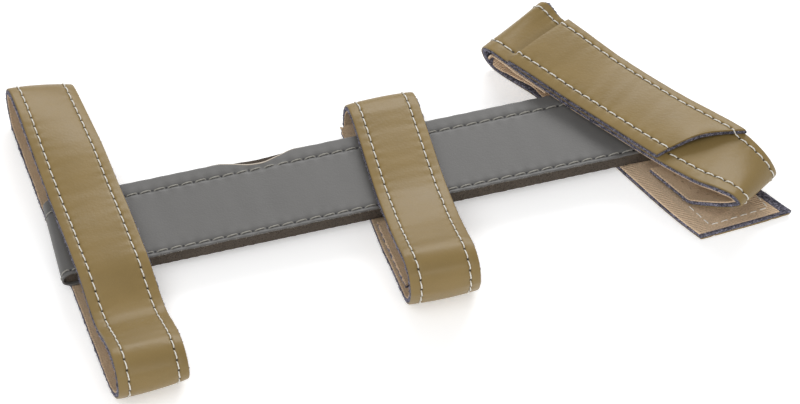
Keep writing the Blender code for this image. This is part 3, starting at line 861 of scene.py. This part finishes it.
def build_strip():
    # The cover: a distance x from the folded end is STRIP_LENGTH - u along its course
    run = Run(strip_course(), STRIP_AT, False, spline=False, half=STRIP_HALF)
    seams = [FAR_SEAM, NEAR_SEAM]
    ripple = Waves(run.length, 9, 40)

    def dip(u):
        """The slack place in the far edge, from 0 to 1."""
        x = STRIP_LENGTH - u
        return smoothstep(x, 63, 79) * (1 - smoothstep(x, 79.5, 95))

    def far_edge(u):
        return -STRIP_HALF + 3.6 * dip(u) + 0.05 * np.sin(u * 0.9)

    def near_edge(u):
        return STRIP_HALF + 0.06 * np.sin(u * 1.23) + 0.08 * np.sin(u * 0.37 + 1)

    def relief(u, c):
        gap = hole_distance(u, 0.0, STRIP_PITCH)
        pucker = np.cos(2 * math.pi * u / STRIP_PITCH)
        height = 0.02 * ripple(u, c) + 0.12 * dip(u) * np.exp(-np.maximum(c - far_edge(u), 0) / 1.3)
        for seam in seams:
            side = c - seam
            height = height - 0.30 * np.exp(-(side / 0.7) ** 2)
            height = height - 0.22 * np.exp(-(side ** 2 + gap ** 2) / 0.5 ** 2)
            height = height - 0.10 * pucker * np.exp(-(side / 1.8) ** 2)
        return -height
    shape = layer(run, STRIP_HALF, seams, relief, VINYL_THICK, (0.0, run.length), (far_edge, near_edge),
                  row=0.6, pitch=STRIP_PITCH, coarse=1.5, round_=0.3)
    fuzz(shape, run, near_edge, 1, 20, STRIP_LENGTH - 2, per_mm=1.8, depths=(0.05, 0.6),
         length=(0.2, 0.8), mark="rim", level=1.5)
    # The pale backing that shows along the slack place
    u = STRIP_LENGTH - np.linspace(97, 61, 90)
    backing = run.at(u, far_edge(u) + 0.05, -0.08 * dip(u))
    size = 0.05 + 0.2 * np.sqrt(dip(u))
    tubes(shape, backing[None], size[None], np.array([0, 0, 1.0]), 6, mark="rim", level=2.0)
    cover = shape.piece("grip_vinyl_cover", MAT_GREY, "grey_vinyl", "grip_strip", "grip_cover")

    # The foam: inside the cover, round at the folded end and open at the long sides
    skin = VINYL_THICK + 0.02
    inner = STRIP_REACH - skin
    pad = Run([(y, STRIP_TOP - skin, 0, 0) for y in np.linspace(STRIP_LENGTH, skin, 200)], STRIP_AT,
              False, spline=False, half=STRIP_HALF)
    crumb = Waves(pad.length, 3, 9, 20)

    def end_round(u):
        x = np.clip(pad.length - u, 0, inner)
        return inner - np.sqrt(np.maximum(inner ** 2 - (inner - x) ** 2, 0))

    def pad_top(u, c):
        return end_round(u) + 0.3 * np.exp(-((c - NEAR_SEAM) / 0.9) ** 2)

    def pad_under(u, c):
        x = pad.length - u
        under = STRIP_THICK - 2 * skin + skin * smoothstep(x, HEM_LENGTH - skin, HEM_LENGTH + 0.5 - skin)
        return under - end_round(u) + 0.02 * crumb(u, c)

    def pad_far(u):
        return -(STRIP_HALF - 0.25 - 0.6 * bump_at(STRIP_LENGTH - u, 79, 7) + 0.03 * crumb(u, 0 * u))

    def pad_near(u):
        return STRIP_HALF - 1.1 + 0.03 * crumb(u, 0 * u)
    bend_rows = inner * (1 - np.cos(np.linspace(0, math.pi / 2, 12)[:-1]))
    rows = np.concatenate([bend_rows, np.linspace(inner, pad.length, 300)])
    shape = layer(pad, STRIP_HALF - 0.3, [], pad_top, pad_under, (0.0, pad.length), (pad_far, pad_near),
                  rows=1 - (rows / pad.length)[::-1], walls=5, ragged=0.10, coarse=2.2, round_=0.35)
    foam_core = shape.piece("grip_foam_core", MAT_FOAM, "foam", "grip_strip", "grip_foam_pad")

    for side, seam in (("far", FAR_SEAM), ("near", NEAR_SEAM)):
        shape = stitches(run, seam, 1.5, run.length - 18, STRIP_PITCH, 0.0, rise=0.12, slant=0.2)
        shape.piece("grip_thread_" + side, MAT_GREY_THREAD, "grey_thread", "grip_strip",
                    "grip_stitch_" + side)


# ---------------- closure strap

FLAP = [(49.5, 17.1, 0, 8, 0), (36, 16.3, 0, 5, 0), (20, 15.0, 0, 2, 0), (4, 14.9, 0, 1, 0),
        (-12, 15.4, 0, 2, 0), (-26, 16.6, 0, 4, 0), (-38, 17.8, 0, 3, 0.2), (-47, 18.6, 0, -7, 0.7),
        (-53.9, 17.4, 0.2, -16, 1.4), (-57.4, 13.2, 0.3, -19, 1.8), (-54, 9.0, 0, -18, 1.4),
        (-48, 7.0, -0.9, -10, 0.6), (-42, 5.2, -1.6, -3, 0.2), (-38.5, 4.3, -1.8, 0, 0),
        (-33, 4.3, -1.3, 0, 0), (-27.5, 4.3, -0.6, 0, 0), (-18, 4.3, 0.5, 0, 0)]
LOWER = [(-67, 0, -9.6, 0, 0), (-57.5, 0, -9.2, 0, 0), (-40, 0, -8.0, 0, 0), (-20, 0, -5.0, 0, 0),
         (0, 0, -1.4, 0, 0), (20, 0, 2.3, 0, 0), (38, 0, 4.2, 0, 0), (47, 0.1, 4.3, 1, 0),
         (52.5, 0.8, 4.2, 4, -0.8), (57.5, 3.4, 3.9, 10, -2.2), (60.8, 7.8, 3.2, 16, -3.2),
         (61.4, 12.2, 2.5, 19, -3.4), (59.2, 15.8, 1.7, 17, -2.9), (55, 17.3, 0.9, 12, -1.7),
         (49.6, 17.2, 0.2, 8, -0.5), (44, 16.8, 0, 6.5, 0)]
TAPE = [(-67, 2.2, -9.8, 0, 0), (-57.5, 2.2, -9.3, 0, 0), (-40, 2.2, -8.1, 0, 0),
        (-20, 2.2, -5.0, 0, 0), (0, 2.2, -1.4, 0, 0), (20, 2.2, 2.3, 0, 0), (30, 2.25, 3.6, 0, 0),
        (36, 3.0, 4.2, 0.5, 0), (40, 4.4, 4.3, 1, 0), (44, 4.0, 4.3, 1, 0), (48, 3.4, 4.3, 1.5, -0.2),
        (53.5, 4.1, 4.1, 5, -1.3), (57.2, 7.0, 3.4, 13, -3.0), (57.6, 10.4, 2.7, 17, -3.3),
        (55, 13.4, 1.6, 15, -2.2), (50.5, 14.4, 0.4, 9, -0.7), (45, 13.7, 0, 7, 0),
        (40, 13.4, 0, 6, 0), (35, 13.1, 0, 5, 0), (31, 12.7, 0, 4, 0)]
END_SEAM = [(-15.4, -38.0), (-17.4, -49.7), (2.9, -60.3), (6.0, -50.0)]


def closure_place(x, y, z):
    """Points of the closure's own frame, in the row frame."""
    where, yaw = CLOSURE_AT
    c, s = math.cos(math.radians(yaw)), math.sin(math.radians(yaw))
    return np.stack([ORIGIN[0] + where + x * c - y * s, ORIGIN[1] + x * s + y * c, z + 0 * x], -1)


def bend(obj, nodes=()):
    """Bake a piece of the lower run or the far fold in place, and hide the CAD nodes it stands for."""
    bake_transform(obj)
    if nodes:
        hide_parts(*nodes)


def build_base(lower):
    """The lower run with its tape, and the far fold."""
    half = CLOSURE_HALF
    end_u = lower.find(BASE_END_Y, False)
    ends = (skewed(end_u - 1.2, -END_SKEW - 0.8, half), lower.length)

    def backing_right(u):
        """The right side, where the backing stands out past the tape."""
        return half + 3.4 * (1 - smoothstep(u, end_u + 2, end_u + 30))
    face = face_layer(lower, half, CLOSURE_SEAMS, phase=lower.length - SHARED_HOLE, ends=ends,
                      sides=(-half, lambda u: backing_right(u) - 0.4))
    bend(face.object("closure_vinyl_face", MAT_KHAKI, "khaki_vinyl"),
         ("closure_base_face", "closure_fold_face"))
    core = felt_layer(lower, half, ends, (-half - 0.05, backing_right))
    fuzz(core, lower, -half, -1, end_u + 8, lower.length)
    fuzz(core, lower, backing_right, 1, end_u - 8, lower.length)
    bend(core.object("closure_felt_core", MAT_FELT, "felt_core"),
         ("closure_base_core", "closure_fold_core"))

    tape = Run(TAPE, CLOSURE_AT, False, turns=True, half=half)
    nap = Waves(tape.length, 4, 12)

    def tape_top(u, c):
        """Ribs along both edges."""
        selvedge = smoothstep(np.abs(c), half - 4.4, half - 3.6)
        return -RIB_HEIGHT * np.cos(2 * math.pi * u / RIB_PITCH) * selvedge
    ends = (skewed(tape.find(-57.0, False), -END_SKEW, half), tape.length)
    shape = layer(tape, half - 0.1, [], tape_top, lambda u, c: 0.62 + 0.05 * nap(u, c), ends,
                  row=RIB_PITCH / 4, round_=0.2, coarse=1.4, rim_width=2.5)
    bend(shape.object("closure_pile_tape", MAT_PILE, "pile_tape"),
         ("closure_base_pile_tape", "closure_fold_lining"))


def build_flap(flap, tab_u):
    """Over the strip, round the near fold, and back under as a tab."""
    half, body = CLOSURE_HALF, "closure_flap"
    ends = (0.0, skewed(tab_u, -TAB_SKEW, half))
    shape = face_layer(flap, half, CLOSURE_SEAMS, phase=-SHARED_HOLE, ends=ends)
    shape.piece("flap_vinyl_face", MAT_KHAKI, "khaki_vinyl", body, "flap_face")
    shape = felt_layer(flap, half, ends)
    for side in (-1, 1):
        fuzz(shape, flap, side * half, side, 0, tab_u - 8 * side)
    shape.piece("flap_felt_core", MAT_FELT, "felt_core", body, "flap_core")
    shape = lining_layer(flap, half, CLOSURE_SEAMS, STRAP_THICK, (14.0, ends[1]), phase=-SHARED_HOLE)
    shape.piece("flap_brushed_lining", MAT_LINING, "tan_lining", body, "flap_lining")


def build_overlay(lower, flap, tab_u):
    """The felt and vinyl piece sewn on top of the flap, and the seams through all of it."""
    half, body = CLOSURE_HALF, "closure_flap"
    top = Run([(58, 17.2, 0.2, 9, 0)] + FLAP[:9], CLOSURE_AT, False, crown=1.0, half=half)
    zero = top.find(49.5, True)
    over_start = skewed(zero + OVERLAY_START, OVERLAY_START_SKEW, half)

    def over_end(c):
        c = np.asarray(c, float)
        return (zero + OVERLAY_LENGTH + OVERLAY_END_SKEW * c / half
                - OVERLAY_END_BOW * (1 - (c / half) ** 2))

    def gape(u, c):
        """How far the overlay's near end stands off the flap, between the seams."""
        last = over_end(np.clip(c, -half, half))
        between = np.exp(-((c - 1.5) / 6.5) ** 2) * (np.abs(c) < half)
        return 1.3 * between * np.exp(-np.maximum(last - u, 0) / 4.5)
    relief = face_relief(CLOSURE_SEAMS, half, STRAP_PITCH, zero, top)

    def face_top(u, c):
        pressed = 0.35 * np.exp(-np.maximum(u - over_start(c), 0) / 2.5)
        return relief(u, c) - OVERLAY_TOP - gape(u, c) + pressed
    ends = (over_start, over_end)
    shape = layer(top, half, CLOSURE_SEAMS, face_top, lambda u, c: -OVERLAY_FACE_UNDER - gape(u, c),
                  ends, phase=zero, round_=0.28)
    shape.piece("overlay_vinyl_face", MAT_KHAKI, "khaki_vinyl", body, "overlay_face")
    shape = felt_layer(top, half, ends, top=lambda u, c: -OVERLAY_CORE_TOP - gape(u, c),
                       under=lambda u, c: -OVERLAY_CORE_UNDER - 0.9 * gape(u, c))
    fuzz(shape, top, -half, -1, zero, zero + 70, depths=(-1.5, -0.3))
    fuzz(shape, top, half, 1, zero, zero + 88, depths=(-1.5, -0.3))
    shape.piece("overlay_felt_core", MAT_FELT, "felt_core", body, "overlay_core")

    # Seams of the flap: one stitch climbs onto the overlay and one steps down from it
    def seam_lift(u, c):
        inside = smoothstep(u - over_start(c), -0.9, 0.3) * smoothstep(over_end(c) - u, -0.9, 0.3)
        return OVERLAY_TOP * inside

    def climbing_hole(seam):
        return math.floor((over_start(seam) - zero) / STRAP_PITCH) * STRAP_PITCH
    slack = 0.1
    for side, seam in zip(("left", "right"), CLOSURE_SEAMS):
        stop = math.ceil((over_end(seam) - zero) / STRAP_PITCH - 0.05) * STRAP_PITCH
        shape = stitches(top, seam, zero + climbing_hole(seam) - slack, zero + stop + slack,
                         STRAP_PITCH, zero, lift=seam_lift)
        shape.piece("flap_thread_" + side, MAT_CREAM, "cream_thread", body, "flap_stitch_" + side)
        shape = stitches(flap, seam, stop - SHARED_HOLE - slack, tab_u - 18, STRAP_PITCH, -SHARED_HOLE)
        shape.piece("tip_thread_" + side, MAT_CREAM, "cream_thread", body, "tip_stitch_" + side)

    # Seams of the lower run and the fold
    shared = lower.length - SHARED_HOLE
    for side, seam in zip(("left", "right"), CLOSURE_SEAMS):
        shape = stitches(lower, seam, lower.find(BASE_END_Y, False) + 8,
                         shared + climbing_hole(seam) + slack, STRAP_PITCH, shared)
        bend(shape.object("fold_thread_" + side, MAT_CREAM, "cream_thread"))


def build_closure():
    half = CLOSURE_HALF
    lower = Run(LOWER, CLOSURE_AT, False, turns=True, wave=0.10, crown=0.15, half=half)
    flap = Run([(SPLIT_Y, 16.8, 0, 6.5, 0)] + FLAP[1:], CLOSURE_AT, False, wave=0.10, crown=0.25,
               half=half)
    tab_u = flap.find(TAB_Y, False)
    build_base(lower)
    build_flap(flap, tab_u)
    build_overlay(lower, flap, tab_u)

    # Seam round the tape's end
    shape = Shape()
    for places in sewn_sides(END_SEAM, STRAP_PITCH):
        centres = closure_place(places[..., 0], places[..., 1], STRAP_THICK + arch(0.12, 0.8))
        thread(shape, centres, np.array([0, 0, 1.0]), END_THREAD_RADIUS)
    shape.piece("closure_end_thread", MAT_CREAM, "cream_thread", "closure_base", "closure_end_stitch")

    # Hook tape under the tab: a thin backing with rows of hooks
    u_far, u_near = flap.find(-34, False), flap.find(-47.5, False)
    shape = layer(flap, 11.0, [], -1.1, -0.3, (u_near, u_far), row=0.6, coarse=1.2, round_=0.15)
    rows, across = np.arange(u_near + 0.8, u_far - 0.6, 1.15), np.arange(-9.9, 10.0, 1.1)
    u, c = (grid.reshape(-1, 1) for grid in np.meshgrid(rows, across, indexing="ij"))
    rise = np.array([0.0, 0.22, 0.34, 0.36, 0.28])[None, :]
    bow = np.array([0.0, 0.02, 0.12, 0.26, 0.36])[None, :]
    hooks = flap.at(u + bow, c + 0 * bow, -1.05 - rise)
    tubes(shape, hooks, np.full(hooks.shape[:2], 0.085), np.array([0.9, 0.3, 0.1]), 4)
    shape.piece("tab_hook_tape", MAT_HOOK, "hook_tape", "closure_flap", "hook_tape")


# ---------------- stage

FLOOR_HALF = 4.0
FLOOR_Z = -0.0002
FLOOR_LEVEL = 0.93
FLOOR_GLOW = 0.32
WORLD_LEVEL = 0.45

# Area lights, aimed at the origin: name, place and size in metres, power in watts
LIGHTS = (("key", (0.33, 0.80, 0.60), (0.9, 0.38), 7.5),
          ("fill", (-0.50, -0.30, 1.0), (0.8, 0.8), 3.5),
          ("front", (0.10, -0.95, 0.55), (0.7, 0.4), 2.6))

# The photograph's camera: angles in degrees, distance in metres, target in the strip's millimetres
CAMERA_AZIMUTH = -15.43
CAMERA_ELEVATION = 50.4
CAMERA_DISTANCE = 1.0916
CAMERA_LENS = 135.0
CAMERA_TARGET = (126.3, -8.8)


def build_floor():
    mesh = bpy.data.meshes.new("floor")
    corners = [(x * FLOOR_HALF, y * FLOOR_HALF, FLOOR_Z) for x, y in ((-1, -1), (1, -1), (1, 1), (-1, 1))]
    mesh.from_pydata(corners, [], [(0, 1, 2, 3)])
    mat = bpy.data.materials.new("floor")
    mat.use_nodes = True
    sockets = mat.node_tree.nodes["Principled BSDF"].inputs
    sockets["Base Color"].default_value = (FLOOR_LEVEL, FLOOR_LEVEL, FLOOR_LEVEL, 1)
    sockets["Roughness"].default_value = 0.9
    sockets["Specular IOR Level"].default_value = 0.1
    sockets["Emission Color"].default_value = (1, 1, 1, 1)
    sockets["Emission Strength"].default_value = FLOOR_GLOW
    mesh.materials.append(mat)
    linked("floor", mesh)


def build_stage():
    build_floor()
    world = bpy.data.worlds.new("studio")
    world.use_nodes = True
    sky = world.node_tree.nodes["Background"]
    sky.inputs["Color"].default_value = (1, 1, 1, 1)
    sky.inputs["Strength"].default_value = WORLD_LEVEL
    scene = bpy.context.scene
    scene.world = world

    for name, place, size, power in LIGHTS:
        data = bpy.data.lights.new(name, "AREA")
        data.shape = "RECTANGLE"
        data.size, data.size_y = size
        data.energy = power
        light = linked(name, data)
        light.location = place
        light.rotation_euler = Vector(place).to_track_quat("Z", "Y").to_euler()

    azimuth, elevation = math.radians(CAMERA_AZIMUTH), math.radians(CAMERA_ELEVATION)
    back = Vector((math.sin(azimuth) * math.cos(elevation), -math.cos(azimuth) * math.cos(elevation),
                   math.sin(elevation)))
    target = Vector(((ORIGIN[0] + CAMERA_TARGET[0]) * MM, (ORIGIN[1] + CAMERA_TARGET[1]) * MM, 0))
    data = bpy.data.cameras.new("camera")
    data.sensor_width = 36.0
    data.lens = CAMERA_LENS
    data.clip_end = 20
    camera = linked("camera", data)
    camera.location = target + back * CAMERA_DISTANCE
    camera.rotation_euler = back.to_track_quat("Z", "Y").to_euler()
    bpy.context.scene.camera = camera
    scene.view_settings.view_transform = "Standard"


build_left_loop()
build_middle_loop()
build_strip()
build_closure()
build_stage()
